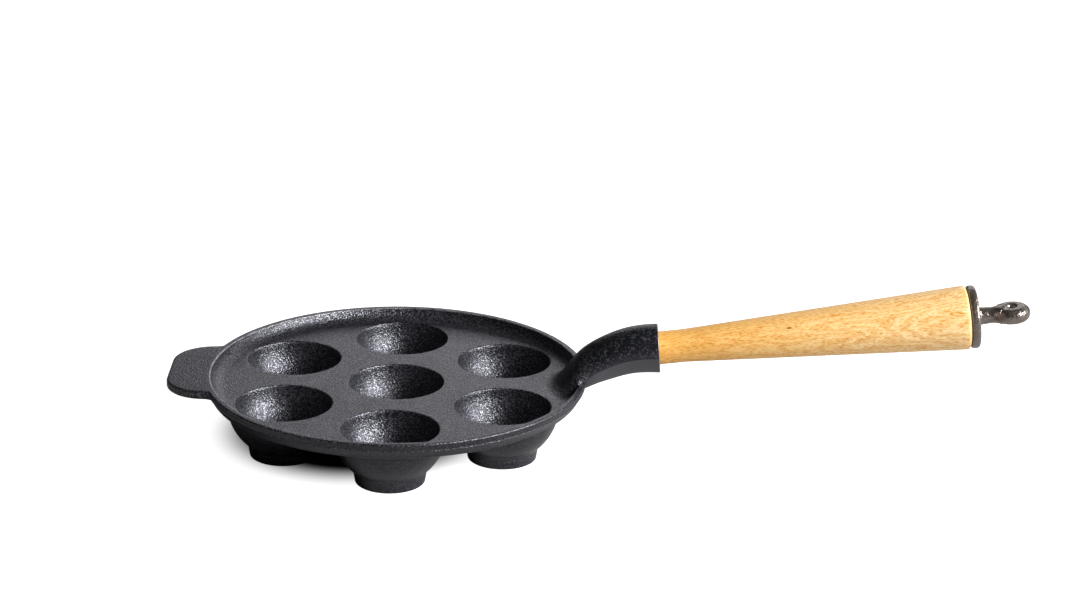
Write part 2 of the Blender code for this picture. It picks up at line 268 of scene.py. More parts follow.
def smooth_row(rows, index, t):
    """A row between two rows of a table, on a smooth curve through all of them."""
    last = len(rows) - 1
    before, start, end, after = (np.array(rows[min(max(index + k, 0), last)])
                                 for k in (-1, 0, 1, 2))
    bend = 2 * before - 5 * start + 4 * end - after
    twist = -before + 3 * start - 3 * end + after
    return 0.5 * (2 * start + (end - before) * t + bend * t ** 2 + twist * t ** 3)


def neck_outline():
    """The neck's section at unit half height and half width: a round top down to the parting line,
    then a side that leans in and curves round to the bottom."""
    start = -math.asin(PARTING_SHARE)
    top_steps = NECK_SIDES // 2
    top = [start + (math.pi - 2 * start) * step / top_steps for step in range(top_steps + 1)]
    points = [(math.cos(a), math.sin(a)) for a in top]
    x0, z0 = points[-1]
    x1, z1 = x0 + SIDE_SHARE * math.tan(SIDE_LEAN), z0 - SIDE_SHARE
    x2, z2 = x0 + KEEL_SHARE, -1.0
    steps = (NECK_SIDES - top_steps) // 2
    left = []
    for step in range(1, steps + 1):
        t = step / steps
        weights = ((1 - t) ** 3, 3 * (1 - t) ** 2 * t, 3 * (1 - t) * t ** 2, t ** 3)
        left.append((sum(w * x for w, x in zip(weights, (x0, x1, x2, 0.0))),
                     sum(w * z for w, z in zip(weights, (z0, z1, z2, -1.0)))))
    return points + left + [(-x, z) for x, z in reversed(left[:-1])]


def neck_ring(row, inset=0.0):
    """One ring of the neck, standing across its path."""
    along, rise, lean, height_share, width_share = row
    root_x = RIM_RADIUS - NECK_ROOT_INSET
    middle = Vector((root_x + (FERRULE_X - root_x) * along, 0.0,
                     NECK_ROOT_Z + (FERRULE_Z - NECK_ROOT_Z) * rise))
    upward = Vector((-math.sin(math.radians(lean)), 0.0, math.cos(math.radians(lean))))
    half_height = FERRULE_RADIUS * height_share - inset
    half_width = FERRULE_RADIUS * width_share - inset
    return [middle + upward * half_height * z + Vector((0.0, half_width * x, 0.0))
            for x, z in neck_outline()]


def gap_to(profile, place, points):
    """How far points lie outside a body turned about its local Z, and which way it pushes them."""
    local = np.array([place.inverted() @ Vector(p) for p in points])
    radius = np.hypot(local[:, 0], local[:, 1])
    flat = np.stack([radius, local[:, 2]], 1)
    best = np.full(len(flat), np.inf)
    away = np.zeros_like(flat)
    inside = np.zeros(len(flat), bool)
    for start, end in zip(profile, profile[1:] + profile[:1]):
        start, end = np.array(start), np.array(end)
        edge = end - start
        share = np.clip((flat - start) @ edge / max(edge @ edge, 1e-18), 0, 1)
        offset = flat - (start + share[:, None] * edge)
        distance = np.linalg.norm(offset, axis=1)
        nearer = distance < best
        best[nearer], away[nearer] = distance[nearer], offset[nearer]
        crosses = (start[1] > flat[:, 1]) != (end[1] > flat[:, 1])
        reach = start[0] + (flat[:, 1] - start[1]) * edge[0] / (edge[1] if edge[1] else 1.0)
        inside ^= crosses & (flat[:, 0] < reach)
    sign = np.where(inside, -1.0, 1.0)
    away *= (sign / np.maximum(best, 1e-12))[:, None]
    turn = local[:, :2] / np.maximum(radius, 1e-9)[:, None]
    ways = np.column_stack([turn * away[:, :1], away[:, 1]])
    return best * sign, [place.to_3x3() @ Vector(w) for w in ways]


def flare(obj, profile, place, radius, share_at=None):
    """Widens a body where it meets a turned one, as a cast fillet of that radius does; share_at
    gives how much of the fillet a point has."""
    mesh = obj.data
    points = [v.co.copy() for v in mesh.vertices]
    normals = [n.vector.copy() for n in mesh.vertex_normals]
    gaps, ways = gap_to(profile, place, points)
    for vertex, normal, gap, way in zip(mesh.vertices, normals, gaps, ways):
        if gap < radius:
            sideways = normal - way * normal.dot(way)
            if sideways.length > FILLET_LEAST_SLANT:
                depth = radius - max(gap, 0.0)
                grown = radius - math.sqrt(max(radius ** 2 - depth ** 2, 0.0))
                if share_at:
                    grown *= share_at(vertex.co)
                vertex.co += sideways.normalized() * grown


def eased(value, start, end):
    """Runs smoothly from 0 at the start to 1 at the end."""
    share = min(max((value - start) / (end - start), 0.0), 1.0)
    return share * share * (3 - 2 * share)


def root_fillet_share(point):
    """The neck's fillet starts inside the plate, and runs out across the lip."""
    outward_run = eased(math.hypot(point.x, point.y), *NECK_FILLET_FADE)
    return eased(point.z, UNDERSIDE, PLATE_TOP) * (1 - outward_run)


neck_rows = [smooth_row(NECK_SECTION_SHARES, index, step / NECK_STEPS)
             for index in range(len(NECK_SECTION_SHARES) - 1) for step in range(NECK_STEPS)]
neck_rings = [neck_ring(row) for row in neck_rows]
ferrule_lean = math.radians(NECK_SECTION_SHARES[-1][2])
outward = Vector((math.cos(ferrule_lean), 0.0, math.sin(ferrule_lean)))
for turn in (0, 30, 60, 90):
    inset = FERRULE_ROUND * (1 - math.cos(math.radians(turn)))
    back = outward * FERRULE_ROUND * (1 - math.sin(math.radians(turn)))
    neck_rings.append([point - back for point in neck_ring(NECK_SECTION_SHARES[-1], inset)])
neck = solid("neck", neck_rings)
flare(neck, plate_profile, Matrix.Identity(4), NECK_FILLET, root_fillet_share)
combine(pan, neck, "UNION")


# Wells and feet: seven bowls under the plate, each on a flat foot, and their seven round hollows.

WELL_WEB = 0.0170
WELL_RIM_MARGIN = 0.0077
WELL_RADIUS = (RIM_RADIUS - LIP_WIDTH - WELL_WEB - WELL_RIM_MARGIN) / 3
WELL_PITCH = 2 * WELL_RADIUS + WELL_WEB
WELL_CENTRE_ABOVE_PLATE = 0.0010
WELL_CENTRE = PLATE_TOP + WELL_CENTRE_ABOVE_PLATE
WELL_MOUTH_ROUND = 0.0010
BOWL_WALL = 0.0049
BOWL_RADIUS = WELL_RADIUS + BOWL_WALL
BOWL_FILLET = 0.0030
BOWL_OVERLAP = 0.00005
FOOT_INSET = 0.0118
FOOT_RADIUS = BOWL_RADIUS - FOOT_INSET
FOOT_DRAFT = 0.0006
FOOT_FILLET = 0.0045
FOOT_ROUND = 0.0009
WELLS_AROUND = 6
FIRST_WELL_ANGLE = math.radians(30)
WELL_SIDES = 112


def bowl_profile():
    """Outside of one well from inside the plate to the floor, with cast fillets."""
    fillet_z = UNDERSIDE - BOWL_FILLET + BOWL_OVERLAP
    fillet_r = math.sqrt((BOWL_RADIUS + BOWL_FILLET) ** 2 - (fillet_z - WELL_CENTRE) ** 2)
    upper = math.degrees(math.atan2(fillet_z - WELL_CENTRE, fillet_r))
    foot_r = FOOT_RADIUS + FOOT_FILLET
    foot_z = WELL_CENTRE - math.sqrt((BOWL_RADIUS + FOOT_FILLET) ** 2 - foot_r ** 2)
    lower = math.degrees(math.atan2(foot_z - WELL_CENTRE, foot_r))
    base = FOOT_RADIUS - FOOT_DRAFT - FOOT_ROUND
    profile = [(0.0, (PLATE_TOP + UNDERSIDE) / 2), (fillet_r, (PLATE_TOP + UNDERSIDE) / 2)]
    profile += arc(fillet_r, fillet_z, BOWL_FILLET, 90, 180 + upper, 6)
    profile += arc(0.0, WELL_CENTRE, BOWL_RADIUS, upper, lower, 16)[1:]
    profile += arc(foot_r, foot_z, FOOT_FILLET, 180 + lower, 180, 6)[1:]
    profile += arc(base, FOOT_ROUND, FOOT_ROUND, 0, -90, 4)
    return profile + [(0.0, 0.0)]


def well_profile():
    """Inside of one well with its rounded mouth, carried on above the plate."""
    mouth_drop = (WELL_CENTRE - PLATE_TOP + WELL_MOUTH_ROUND) / WELL_RADIUS
    mouth = WELL_RADIUS + WELL_MOUTH_ROUND
    profile = [(0.0, WELL_CENTRE - WELL_RADIUS)]
    profile += arc(0.0, WELL_CENTRE, WELL_RADIUS, -86, -math.degrees(math.asin(mouth_drop)), 22)
    profile += arc(mouth, PLATE_TOP - WELL_MOUTH_ROUND, WELL_MOUTH_ROUND, 165, 90, 5)
    return profile + [(mouth, PAN_HEIGHT), (0.0, PAN_HEIGHT)]


def group_input(tree, name, kind, default):
    """Adds a named input to a geometry tree."""
    entry = tree.interface.new_socket(name, in_out="INPUT", socket_type=kind)
    if default is not None:
        entry.default_value = default
    return entry


def node(tree, kind, inputs=None, **settings):
    """Adds a node with its settings; inputs hold values, or the sockets that feed it."""
    new = tree.nodes.new(kind)
    for name, value in settings.items():
        setattr(new, name, value)
    for name, value in (inputs or {}).items():
        if isinstance(value, bpy.types.NodeSocket):
            tree.links.new(value, new.inputs[name])
        else:
            new.inputs[name].default_value = value
    return new


around = bpy.data.node_groups.new("one in the middle and six around", "GeometryNodeTree")
around.interface.new_socket("Geometry", in_out="INPUT", socket_type="NodeSocketGeometry")
group_input(around, "Pitch", "NodeSocketFloat", WELL_PITCH)
group_input(around, "Count", "NodeSocketInt", WELLS_AROUND)
group_input(around, "First Angle", "NodeSocketFloat", FIRST_WELL_ANGLE)
group_input(around, "Material", "NodeSocketMaterial", None)
around.interface.new_socket("Geometry", in_out="OUTPUT", socket_type="NodeSocketGeometry")
given = node(around, "NodeGroupInput")
circle = node(around, "GeometryNodeMeshCircle", {"Vertices": given.outputs["Count"],
                                                 "Radius": given.outputs["Pitch"]})
turn = node(around, "ShaderNodeCombineXYZ", {"Z": given.outputs["First Angle"]})
ring = node(around, "GeometryNodeTransform", {"Geometry": circle.outputs["Mesh"],
                                              "Rotation": turn.outputs["Vector"]})
middle = node(around, "GeometryNodePoints", {"Count": 1})
places = node(around, "GeometryNodeJoinGeometry")
around.links.new(ring.outputs["Geometry"], places.inputs["Geometry"])
around.links.new(middle.outputs["Points"], places.inputs["Geometry"])
copies = node(around, "GeometryNodeInstanceOnPoints", {"Points": places.outputs["Geometry"],
                                                       "Instance": given.outputs["Geometry"]})
real = node(around, "GeometryNodeRealizeInstances", {"Geometry": copies.outputs["Instances"]})
skinned = node(around, "GeometryNodeSetMaterial", {"Geometry": real.outputs["Geometry"],
                                                   "Material": given.outputs["Material"]})
node(around, "NodeGroupOutput", {"Geometry": skinned.outputs["Geometry"]})


def seven(name, profile, material):
    """Seven turned bodies of a profile, one at each well's place, as one plain mesh."""
    obj = solid(name, turned(profile, WELL_SIDES))
    modifier = obj.modifiers.new(name, "NODES")
    modifier.node_group = around
    for entry in around.interface.items_tree:
        if entry.in_out == "INPUT" and entry.name == "Material":
            modifier[entry.identifier] = material
    bake(obj)
    return obj


def linear(code):
    """An sRGB hex colour as linear red, green, blue and alpha."""
    shares = [int(code[k:k + 2], 16) / 255 for k in (1, 3, 5)]
    return (*[c / 12.92 if c <= 0.04045 else ((c + 0.055) / 1.055) ** 2.4 for c in shares], 1.0)


def per_mm(size):
    """A texture's scale for features of that size in millimetres."""
    return 1000.0 / size


# Seasoned cast iron: grey iron with a baked blue-black coat of oil. The sand leaves a fine even
# grain that glints where the light strikes it, coarser and sparser on the neck. The lip's inner
# edge is bright bare iron, partly worn where things rub it and partly a painted highlight along
# its rounding. Real sand grain is 0.2 to 0.5 mm, and is drawn about 1 mm so that it shows.
SAND_GRAIN = 1.0
NECK_GRAIN = 1.2
NECK_SKIN = (RIM_RADIUS - 0.004, RIM_RADIUS + 0.008)
SAND_RELIEF = 0.00044
SMOOTH_RELIEF_SHARE = 0.3
DRAWN_AND_REFLECTION_SLANT = (-0.16, -0.30)
OUTSIDE_SLANT = (0.02, -0.08)
GLINT_RANGE = (0.49, 0.61)
GLINT_SHARE = 0.95
NECK_GLINT_SHARE = 0.45
NECK_GLINT_DROP = -0.050
FACED_HIGHLIGHT_SHARE = 0.45
OUTSIDE_GLINT_SHARE = 0.22
CLOUD_SIZE = 22.0
CLOUD_RANGE = (0.3, 0.7)
IRON_ROUGHNESS = (0.31, 0.37)
WEAR_HIGHLIGHT_PATCH = 5.0
RUBBED_HIGHLIGHT_RANGE = (0.32, 0.60)
WORN_HIGHLIGHT_EDGE_RADIUS = RIM_RADIUS - LIP_WIDTH + 0.00035
WORN_HIGHLIGHT_EDGE_HALF = 0.00072
WORN_HIGHLIGHT_EDGE_DROP = 0.00065
WEAR_HIGHLIGHT_END_X = 0.1045
WORN_HIGHLIGHT_METAL_SHARE = 0.5
iron = bpy.data.materials.new("seasoned cast iron")
iron.use_nodes = True
tree = iron.node_tree
shader = tree.nodes["Principled BSDF"]
shader.inputs["IOR"].default_value = 1.55
shader.inputs["Specular Tint"].default_value = linear("#F3F3FF")
place = node(tree, "ShaderNodeTexCoord").outputs["Object"]
axes = node(tree, "ShaderNodeSeparateXYZ", {"Vector": place})
cloud = node(tree, "ShaderNodeTexNoise", {"Vector": place, "Scale": per_mm(CLOUD_SIZE),
                                          "Detail": 3.0})
sand = node(tree, "ShaderNodeTexNoise", {"Vector": place, "Scale": per_mm(SAND_GRAIN),
                                         "Detail": 2.0, "Roughness": 0.6})
lumps = node(tree, "ShaderNodeTexNoise", {"Vector": place, "Scale": per_mm(NECK_GRAIN),
                                          "Detail": 2.0})
on_neck = node(tree, "ShaderNodeMapRange", {"Value": axes.outputs["X"], "From Min": NECK_SKIN[0],
                                            "From Max": NECK_SKIN[1]},
               interpolation_type="SMOOTHSTEP")
grain = node(tree, "ShaderNodeMix", {0: on_neck.outputs["Result"], 2: sand.outputs["Fac"],
                                     3: lumps.outputs["Fac"]})
# The slants are a surface normal's height. Below its parting line the neck drew cleanly from the
# mould, so it is smoother there, and its downward band is painted a lighter grey as a painted
# reflection of the pale table.
facing = node(tree, "ShaderNodeNewGeometry").outputs["True Normal"]
facing_z = node(tree, "ShaderNodeSeparateXYZ", {"Vector": facing}).outputs["Z"]
below = node(tree, "ShaderNodeMapRange", {"Value": facing_z, "From Min": DRAWN_AND_REFLECTION_SLANT[0],
                                          "From Max": DRAWN_AND_REFLECTION_SLANT[1]})
drawn = node(tree, "ShaderNodeMath", {0: below.outputs["Result"], 1: on_neck.outputs["Result"]},
             operation="MULTIPLY")
# The rim's wall and the outside of the bowls and feet draw from the lower half too, so they are
# smoother as well.
outside = node(tree, "ShaderNodeMapRange", {"Value": facing_z, "From Min": OUTSIDE_SLANT[0],
                                            "From Max": OUTSIDE_SLANT[1]})
smooth = node(tree, "ShaderNodeMath", {0: outside.outputs["Result"], 1: drawn.outputs["Value"]},
              operation="MAXIMUM")
relief = node(tree, "ShaderNodeMapRange", {"Value": smooth.outputs["Value"], "To Min": SAND_RELIEF,
                                           "To Max": SAND_RELIEF * SMOOTH_RELIEF_SHARE})
bump = node(tree, "ShaderNodeBump", {"Height": grain.outputs[0], "Strength": 1.0,
                                     "Distance": relief.outputs["Result"]})
tree.links.new(bump.outputs["Normal"], shader.inputs["Normal"])
# The lip's inner edge line: partly wear, and partly a painted highlight on its rounded edge.
flat = node(tree, "ShaderNodeCombineXYZ", {"X": axes.outputs["X"], "Y": axes.outputs["Y"]})
out = node(tree, "ShaderNodeVectorMath", {0: flat.outputs["Vector"]}, operation="LENGTH")
edge_miss = node(tree, "ShaderNodeMath", {0: out.outputs["Value"], 1: WORN_HIGHLIGHT_EDGE_RADIUS},
                 operation="SUBTRACT")
edge_gap = node(tree, "ShaderNodeMath", {0: edge_miss.outputs["Value"]}, operation="ABSOLUTE")
near_edge = node(tree, "ShaderNodeMapRange", {"Value": edge_gap.outputs["Value"],
                                              "From Min": WORN_HIGHLIGHT_EDGE_HALF, "From Max": 0.0})
high = node(tree, "ShaderNodeMapRange", {"Value": axes.outputs["Z"],
                                         "From Min": PAN_HEIGHT - WORN_HIGHLIGHT_EDGE_DROP,
                                         "From Max": PAN_HEIGHT - WORN_HIGHLIGHT_EDGE_DROP / 2})
patches = node(tree, "ShaderNodeTexNoise", {"Vector": place, "Scale": per_mm(WEAR_HIGHLIGHT_PATCH),
                                            "Detail": 4.0, "Roughness": 0.7})
short_of_neck = node(tree, "ShaderNodeMapRange", {"Value": axes.outputs["X"],
                                                  "From Min": WEAR_HIGHLIGHT_END_X,
                                                  "From Max": WEAR_HIGHLIGHT_END_X - WORN_HIGHLIGHT_EDGE_HALF})
rubbed_highlight = node(tree, "ShaderNodeMapRange", {"Value": patches.outputs["Fac"],
                                           "From Min": RUBBED_HIGHLIGHT_RANGE[0], "From Max": RUBBED_HIGHLIGHT_RANGE[1],
                                           "To Max": short_of_neck.outputs["Result"]})
below_neck = node(tree, "ShaderNodeMath", {0: axes.outputs["Z"],
                                           1: PAN_HEIGHT + WORN_HIGHLIGHT_EDGE_DROP / 4},
                  operation="LESS_THAN")
on_lip = node(tree, "ShaderNodeMath", {0: high.outputs["Result"], 1: below_neck.outputs["Value"]},
              operation="MULTIPLY")
on_edge = node(tree, "ShaderNodeMath", {0: near_edge.outputs["Result"], 1: on_lip.outputs["Value"]},
               operation="MULTIPLY")
lip_wear_highlight = node(tree, "ShaderNodeMath", {0: on_edge.outputs["Value"], 1: rubbed_highlight.outputs["Result"]},
                operation="MULTIPLY")
# The ferrule's end was faced flat for the grip, so its edge is bare too, and this bright edge is
# also a painted highlight standing in for the glint on its thin rounding.
reach = node(tree, "ShaderNodeVectorMath", {0: place, 1: outward}, operation="DOT_PRODUCT")
ferrule_end = outward.dot(Vector((FERRULE_X, 0.0, FERRULE_Z)))
faced_edge_highlight = node(tree, "ShaderNodeMapRange", {"Value": reach.outputs["Value"],
                                          "From Min": ferrule_end - FERRULE_ROUND,
                                          "From Max": ferrule_end - FERRULE_ROUND / 2,
                                          "To Max": FACED_HIGHLIGHT_SHARE})
wear_and_highlight = node(tree, "ShaderNodeMath", {0: lip_wear_highlight.outputs["Value"], 1: faced_edge_highlight.outputs["Result"]},
            operation="MAXIMUM")
coat = node(tree, "ShaderNodeMix", {0: cloud.outputs["Fac"], 6: linear("#07080B"),
                                    7: linear("#0D0F13")}, data_type="RGBA")
# Painted reflection: the neck's downward band turns #404044 grey for the pale table below it.
skin = node(tree, "ShaderNodeMix", {0: drawn.outputs["Value"], 6: coat.outputs[2],
                                    7: linear("#404044")}, data_type="RGBA")
glint_share = node(tree, "ShaderNodeMapRange", {"Value": on_neck.outputs["Result"],
                                                "To Min": GLINT_SHARE, "To Max": NECK_GLINT_SHARE})
outside_share = node(tree, "ShaderNodeMapRange", {"Value": outside.outputs["Result"],
                                                  "To Min": 1.0, "To Max": OUTSIDE_GLINT_SHARE})
share = node(tree, "ShaderNodeMath", {0: glint_share.outputs["Result"],
                                      1: outside_share.outputs["Result"]}, operation="MULTIPLY")
peaks = node(tree, "ShaderNodeMath", {0: on_neck.outputs["Result"], 1: NECK_GLINT_DROP,
                                      2: grain.outputs[0]}, operation="MULTIPLY_ADD")
glints = node(tree, "ShaderNodeMapRange", {"Value": peaks.outputs["Value"],
                                           "From Min": GLINT_RANGE[0], "From Max": GLINT_RANGE[1],
                                           "To Max": share.outputs["Value"]})
grained = node(tree, "ShaderNodeMix", {0: glints.outputs["Result"], 6: skin.outputs[2],
                                       7: linear("#78787F")}, data_type="RGBA")
# The bright #B2B2B6 is partly bare iron and partly a painted highlight on the lip and ferrule
# edges.
tone = node(tree, "ShaderNodeMix", {0: wear_and_highlight.outputs["Value"], 6: grained.outputs[2],
                                    7: linear("#B2B2B6")}, data_type="RGBA")
tree.links.new(tone.outputs[2], shader.inputs["Base Color"])
bare_metal_and_highlight = node(tree, "ShaderNodeMath", {0: wear_and_highlight.outputs["Value"], 1: WORN_HIGHLIGHT_METAL_SHARE,
                                     2: glints.outputs["Result"]}, operation="MULTIPLY_ADD")
tree.links.new(bare_metal_and_highlight.outputs["Value"], shader.inputs["Metallic"])
gloss = node(tree, "ShaderNodeMapRange", {"Value": cloud.outputs["Fac"],
                                          "From Min": CLOUD_RANGE[0], "From Max": CLOUD_RANGE[1],
                                          "To Min": IRON_ROUGHNESS[0], "To Max": IRON_ROUGHNESS[1]})
tree.links.new(gloss.outputs["Result"], shader.inputs["Roughness"])

combine(pan, seven("bowls", bowl_profile(), iron), "UNION")
combine(pan, seven("hollows", well_profile(), iron), "DIFFERENCE")


# The neck's socket takes the grip, and its tapped hole takes the tie rod.

HANDLE_TILT = math.radians(7.0)
SOCKET_RADIUS = 0.0098
SOCKET_DEPTH = 0.0150
ROD_HOLE_RADIUS = 0.0033
ROD_HOLE_END = 0.0283
GRIP_SIDES = 128
SMOOTH_LIMIT = math.radians(38)

handle_place = (
    Matrix.Translation((FERRULE_X, 0.0, FERRULE_Z))
    @ Matrix.Rotation(math.pi / 2 - HANDLE_TILT, 4, "Y")
)
socket = solid("socket", turned([
    (0.0, -ROD_HOLE_END), (ROD_HOLE_RADIUS, -ROD_HOLE_END), (ROD_HOLE_RADIUS, -SOCKET_DEPTH),
    (SOCKET_RADIUS, -SOCKET_DEPTH), (SOCKET_RADIUS, SOCKET_DEPTH), (0.0, SOCKET_DEPTH),
], GRIP_SIDES))
socket.data.transform(handle_place)
combine(pan, socket, "DIFFERENCE")


def dress(obj, material, slot, *nodes):
    """Gives a finished piece its skin, smooth shading and its place in the frame."""
    obj.data.name = obj.name
    obj.data.materials.clear()
    obj.data.materials.append(material)
    obj.data.shade_smooth()
    obj.data.set_sharp_from_angle(angle=SMOOTH_LIMIT)
    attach(obj, "root")
    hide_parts(*nodes)


dress(pan, iron, "cast_iron", "pan_casting")


# Handle grip
# Beech, turned on a lathe, bored for the tie rod, sanded and oiled. It is slim where it enters the
# ferrule and widens evenly to the end that the hand holds.

GRIP_LENGTH = 0.1770
GRIP_START = -0.0147
GRIP_SLIM_RADIUS = 0.0095
GRIP_SLIM_LENGTH = 0.0150
GRIP_END_RADIUS = 0.01838
GRIP_END_ROUND = 0.0020
GRIP_BORE = 0.0036
GRIP_RING_STEP = 0.003

grip_profile = [(GRIP_BORE, GRIP_START), (GRIP_SLIM_RADIUS, GRIP_START), (GRIP_SLIM_RADIUS, 0.0)]
grip_profile.append((GRIP_SLIM_RADIUS, GRIP_SLIM_LENGTH))
grip_profile += arc(GRIP_END_RADIUS - GRIP_END_ROUND, GRIP_LENGTH - GRIP_END_ROUND, GRIP_END_ROUND,
                    8, 90, 8)
grip_profile.append((GRIP_BORE, GRIP_LENGTH))
grip = solid("grip", turned(finely(grip_profile, GRIP_RING_STEP), GRIP_SIDES), closed=True)
grip.data.transform(handle_place)

# Oiled beech: pale orange brown, paler towards the far end, with soft growth rings that the taper
# cuts into long arches, and the short dark ray flecks that mark beech. The flecks are really about
# 0.3 mm wide, and are drawn 0.42 mm wide so that they show.
RING_WIDTH = 1.6
FLECK_WIDTH = 0.42
FLECK_LENGTH = 2.8
FLECK_RANGE = (0.48, 0.64)
FLECK_LEAN = 0.009
RING_SHARE = 0.45
LATE_WOOD_FLECKS = (0.60, 0.95)
FIGURE_SIZE = 14.0
FIGURE_STRETCH = 0.22
RING_WAVE = 0.016
PITH_OFFSET = (0.004, 0.055, 0.0)
PALE_LENGTH = 0.150
PORE_DEPTH = 0.0001
KNOT_PLACE = (-0.0082, -0.0101, 0.0745)
KNOT_RADIUS = 0.0013
KNOT_SQUEEZE = (1.5, 1.5, 0.65)
KNOT_CORE = 0.4
beech = bpy.data.materials.new("oiled beech")
beech.use_nodes = True
tree = beech.node_tree
shader = tree.nodes["Principled BSDF"]
shader.inputs["Roughness"].default_value = 0.48
place = node(tree, "ShaderNodeTexCoord").outputs["Object"]
along = node(tree, "ShaderNodeMapping", {"Vector": place, "Location": handle_place.to_translation(),
                                         "Rotation": (0.0, math.pi / 2 - HANDLE_TILT, 0.0)},
             vector_type="TEXTURE").outputs["Vector"]
length = node(tree, "ShaderNodeSeparateXYZ", {"Vector": along}).outputs["Z"]
from_pith = node(tree, "ShaderNodeVectorMath", {0: along, 1: PITH_OFFSET}, operation="SUBTRACT")
stretched = node(tree, "ShaderNodeMapping", {"Vector": along, "Scale": (1.0, 1.0, FIGURE_STRETCH)})
figure = node(tree, "ShaderNodeTexNoise", {"Vector": stretched.outputs["Vector"],
                                           "Scale": per_mm(FIGURE_SIZE), "Detail": 2.0})
waves = node(tree, "ShaderNodeVectorMath", {0: figure.outputs["Color"], 1: (0.5, 0.5, 0.5)},
             operation="SUBTRACT")
bent = node(tree, "ShaderNodeVectorMath", {0: waves.outputs["Vector"],
                                           1: (RING_WAVE, RING_WAVE, 0.0),
                                           2: from_pith.outputs["Vector"]},
            operation="MULTIPLY_ADD")
# One ring is one turn of the wave, which Blender repeats every pi / 10 of its scaled distance.
rings = node(tree, "ShaderNodeTexWave", {"Vector": bent.outputs["Vector"],
                                         "Scale": per_mm(RING_WIDTH) * math.pi / 10,
                                         "Distortion": 0.0},
             wave_type="RINGS", rings_direction="Z", wave_profile="SIN")
leaning = node(tree, "ShaderNodeVectorMath", {0: waves.outputs["Vector"], 1: (FLECK_LEAN,) * 3,
                                              2: along}, operation="MULTIPLY_ADD")
fleck_place = node(tree, "ShaderNodeMapping", {"Vector": leaning.outputs["Vector"],
                                               "Scale": (1.0, 1.0, FLECK_WIDTH / FLECK_LENGTH)})
flecks = node(tree, "ShaderNodeTexNoise", {"Vector": fleck_place.outputs["Vector"],
                                           "Scale": per_mm(FLECK_WIDTH), "Detail": 1.0})
marked = node(tree, "ShaderNodeMapRange", {"Value": flecks.outputs["Fac"],
                                           "From Min": FLECK_RANGE[0], "From Max": FLECK_RANGE[1]})
paler = node(tree, "ShaderNodeMapRange", {"Value": length, "From Min": 0.0,
                                          "From Max": PALE_LENGTH})
ground = node(tree, "ShaderNodeMix", {0: paler.outputs["Result"], 6: linear("#F6BF68"),
                                      7: linear("#FCDBA0")}, data_type="RGBA")
ring_share = node(tree, "ShaderNodeMath", {0: rings.outputs["Fac"], 1: RING_SHARE},
                  operation="MULTIPLY")
ringed = node(tree, "ShaderNodeMix", {0: ring_share.outputs["Value"], 6: ground.outputs[2],
                                      7: linear("#E3A044")}, data_type="RGBA")
in_late_wood = node(tree, "ShaderNodeMapRange", {"Value": rings.outputs["Fac"],
                                                 "To Min": LATE_WOOD_FLECKS[0],
                                                 "To Max": LATE_WOOD_FLECKS[1]})
fleck_share = node(tree, "ShaderNodeMath", {0: marked.outputs["Result"],
                                            1: in_late_wood.outputs["Result"]},
                   operation="MULTIPLY")
flecked = node(tree, "ShaderNodeMix", {0: fleck_share.outputs["Value"], 6: ringed.outputs[2],
                                       7: linear("#D48A22")}, data_type="RGBA")
to_knot = node(tree, "ShaderNodeVectorMath", {0: along, 1: KNOT_PLACE}, operation="SUBTRACT")
from_knot = node(tree, "ShaderNodeVectorMath", {0: to_knot.outputs["Vector"], 1: KNOT_SQUEEZE},
                 operation="MULTIPLY")
knot_miss = node(tree, "ShaderNodeVectorMath", {0: from_knot.outputs["Vector"]}, operation="LENGTH")
knot = node(tree, "ShaderNodeMapRange", {"Value": knot_miss.outputs["Value"],
                                         "From Min": KNOT_RADIUS,
                                         "From Max": KNOT_RADIUS * KNOT_CORE})
wood = node(tree, "ShaderNodeMix", {0: knot.outputs["Result"], 6: flecked.outputs[2],
                                    7: linear("#7A4A20")}, data_type="RGBA")
tree.links.new(wood.outputs[2], shader.inputs["Base Color"])
pores = node(tree, "ShaderNodeBump", {"Height": flecks.outputs["Fac"], "Strength": 0.5,
                                      "Distance": PORE_DEPTH})
tree.links.new(pores.outputs["Normal"], shader.inputs["Normal"])
dress(grip, beech, "beech", "handle_grip")


# Tie rod
# A plain drawn steel stud that clamps the grip between the two castings.

steel = bpy.data.materials.new("drawn steel")
steel.use_nodes = True
tree = steel.node_tree
shader = tree.nodes["Principled BSDF"]
shader.inputs["Base Color"].default_value = linear("#B4B4B6")
shader.inputs["Metallic"].default_value = 1.0
shader.inputs["Roughness"].default_value = 0.35
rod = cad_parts["tie_rod"]
for slot in rod.material_slots:
    slot.material = steel


# End cap
# A small casting of the same iron: a round flange against the grip's end, a short stem and a thick
# eye to hang the pan by.

CAP_START = 0.1773
FLANGE_RADIUS = 0.01808
FLANGE_THICKNESS = 0.0050
FLANGE_ROUND = 0.0018
STEM_RADIUS = 0.0050
STEM_FILLET = 0.0030
EYE_DISTANCE = 0.0199
EYE_RADIUS = 0.01048
EYE_THICKNESS = 0.0090
EYE_HOLE_RADIUS = 0.0025
EYE_OUTER_ROUND = 0.0042
EYE_HOLE_FLARE = 0.0022
EYE_FILLET = 0.0030
EYE_WALL_UNDER_STEM = 0.0025
STEM_INSET = 0.0003
TAPPED_DEPTH = 0.0113
CUT_OVERRUN = 0.004
CAP_RING_STEP = 0.0004
CAP_SIDES = 96
TAPPED_SIDES = 64
CAP_GRAIN = 1.8
CAP_PATCH = 6.0
CAP_RELIEF = 0.00052
CAP_ROUGHNESS = (0.23, 0.35)

